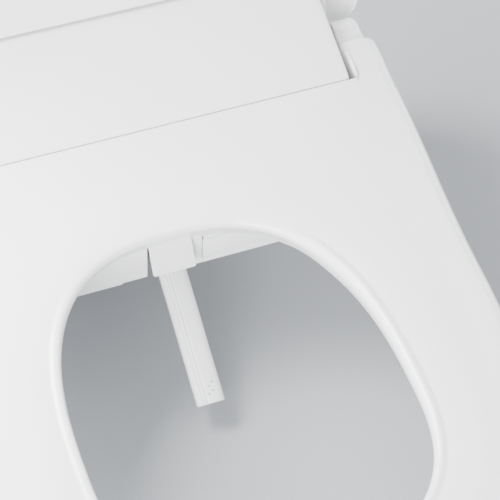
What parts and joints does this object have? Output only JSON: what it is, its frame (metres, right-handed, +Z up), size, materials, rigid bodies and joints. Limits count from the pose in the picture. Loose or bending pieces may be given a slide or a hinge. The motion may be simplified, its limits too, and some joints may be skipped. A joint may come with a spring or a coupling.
{
  "type": "electric bidet seat",
  "caption": "Electric bidet seat with a hinged seat ring and lid over a low rear housing, a sliding wash nozzle behind a hinged door, a dryer flap, side buttons and a filter drawer.",
  "frame": {"origin": "centre of the mounting plate's underside, on the plane of the bowl's rim", "axes": "+X right seen from the front, -Y towards the sitter's feet (front), +Z up; lid open, seat down, nozzle out at rest"},
  "size_m": [0.407, 0.596, 0.6047],
  "materials": {
    "gloss_white": "gloss",
    "satin_white": "satin",
    "moulded_grey": "matt, fine grain",
    "dark_rubber": "matt",
    "pale_rubber": "matt",
    "stainless_steel": "brushed",
    "plated_brass": "plated",
    "circuit_green": "solder mask",
    "heater_foil": "etched foil",
    "filter_carbon": "open-cell block"
  },
  "bodies": {
    "housing": {"mounting_plate": "moulded_grey", "base_casing": "gloss_white", "deck_cover": "satin_white", "top_cover": "gloss_white", "nozzle_fascia": "gloss_white", "nozzle_door_pin": "stainless_steel", "dryer_flap_pin": "stainless_steel", "nozzle_guide": "moulded_grey", "nozzle_motor": "stainless_steel", "dryer_duct": "moulded_grey", "dryer_heater": "heater_foil", "fan_housing": "moulded_grey", "fan_motor": "stainless_steel", "water_heater": "satin_white", "solenoid_valve": "moulded_grey", "feed_hose": "pale_rubber", "water_inlet": "plated_brass", "cord_gland": "dark_rubber", "control_board": "circuit_green", "cover_screw_left": "stainless_steel", "cover_screw_right": "stainless_steel", "lid_damper": "moulded_grey", "seat_damper": "moulded_grey", "mounting_bolt_left": "stainless_steel", "mounting_bolt_right": "stainless_steel", "bolt_bush_left": "dark_rubber", "bolt_bush_right": "dark_rubber", "bolt_nut_left": "satin_white", "bolt_nut_right": "satin_white"},
    "lid": {"lid_shell": "gloss_white", "lid_liner": "satin_white", "lid_bumper_rear_left": "pale_rubber", "lid_bumper_rear_right": "pale_rubber", "lid_bumper_front_left": "pale_rubber", "lid_bumper_front_right": "pale_rubber", "lid_shaft": "stainless_steel"},
    "seat": {"seat_upper": "gloss_white", "seat_lower": "satin_white", "seat_heater_mat": "heater_foil", "seat_bumper_rear_left": "pale_rubber", "seat_bumper_rear_right": "pale_rubber", "seat_bumper_front_left": "pale_rubber", "seat_bumper_front_right": "pale_rubber", "seat_hinge_barrel_left": "gloss_white", "seat_hinge_barrel_right": "gloss_white", "seat_shaft": "stainless_steel"},
    "nozzle": {"nozzle_body": "satin_white", "nozzle_tip": "satin_white", "nozzle_rack": "moulded_grey"},
    "pinion": {"nozzle_pinion": "moulded_grey"},
    "door": {"nozzle_door": "gloss_white"},
    "flap": {"dryer_flap": "gloss_white"},
    "rotor": {"fan_rotor": "satin_white"},
    "drawer": {"filter_drawer": "gloss_white", "filter_cartridge": "filter_carbon"},
    "power": {"power_button": "satin_white"},
    "wash": {"wash_button": "satin_white"},
    "release": {"release_button": "moulded_grey", "release_latch": "stainless_steel"}
  },
  "joints": [
    {"name": "lid_hinge", "type": "hinge", "parent": "housing", "child": "lid", "pos_m": [0, 0.045, 0.07], "axis": [-1, 0, 0], "range_deg": [-105, 0]},
    {"name": "seat_hinge", "type": "hinge", "parent": "housing", "child": "seat", "pos_m": [0, 0.045, 0.07], "axis": [-1, 0, 0], "range_deg": [0, 95]},
    {"name": "nozzle_slide", "type": "slide", "parent": "housing", "child": "nozzle", "axis": [0, -0.848, -0.5299], "range_m": [-0.1075, 0]},
    {"name": "nozzle_pinion_spin", "type": "hinge", "parent": "housing", "child": "pinion", "pos_m": [0.0056, -0.04358, 0.01368], "axis": [1, 0, 0], "range_deg": [-1240, 5]},
    {"name": "nozzle_door_hinge", "type": "hinge", "parent": "housing", "child": "door", "pos_m": [0.0036, -0.0787, 0.0435], "axis": [-1, 0, 0], "range_deg": [-30, 0]},
    {"name": "dryer_flap_hinge", "type": "hinge", "parent": "housing", "child": "flap", "pos_m": [0.0635, -0.0787, 0.0363], "axis": [-1, 0, 0], "range_deg": [0, 35]},
    {"name": "fan_spin", "type": "hinge", "parent": "housing", "child": "rotor", "pos_m": [0.11, 0.01, 0.02], "axis": [0, 0, 1], "continuous": true},
    {"name": "filter_slide", "type": "slide", "parent": "housing", "child": "drawer", "axis": [-1, 0, 0], "range_m": [0, 0.032]},
    {"name": "power_press", "type": "slide", "parent": "housing", "child": "power", "axis": [-1, 0, 0], "range_m": [0, 0.0018], "stiffness_N_per_m": 400},
    {"name": "wash_press", "type": "slide", "parent": "housing", "child": "wash", "axis": [-1, 0, 0], "range_m": [0, 0.0018], "stiffness_N_per_m": 400},
    {"name": "release_press", "type": "slide", "parent": "housing", "child": "release", "axis": [-1, 0, 0], "range_m": [0, 0.0038], "stiffness_N_per_m": 600}
  ],
  "couplings": [
    {"joint": "nozzle_pinion_spin", "follows": "nozzle_slide", "rad_per_m": 200},
    {"joint": "nozzle_door_hinge", "follows": "nozzle_slide", "rad_per_m": 4.8691}
  ]
}
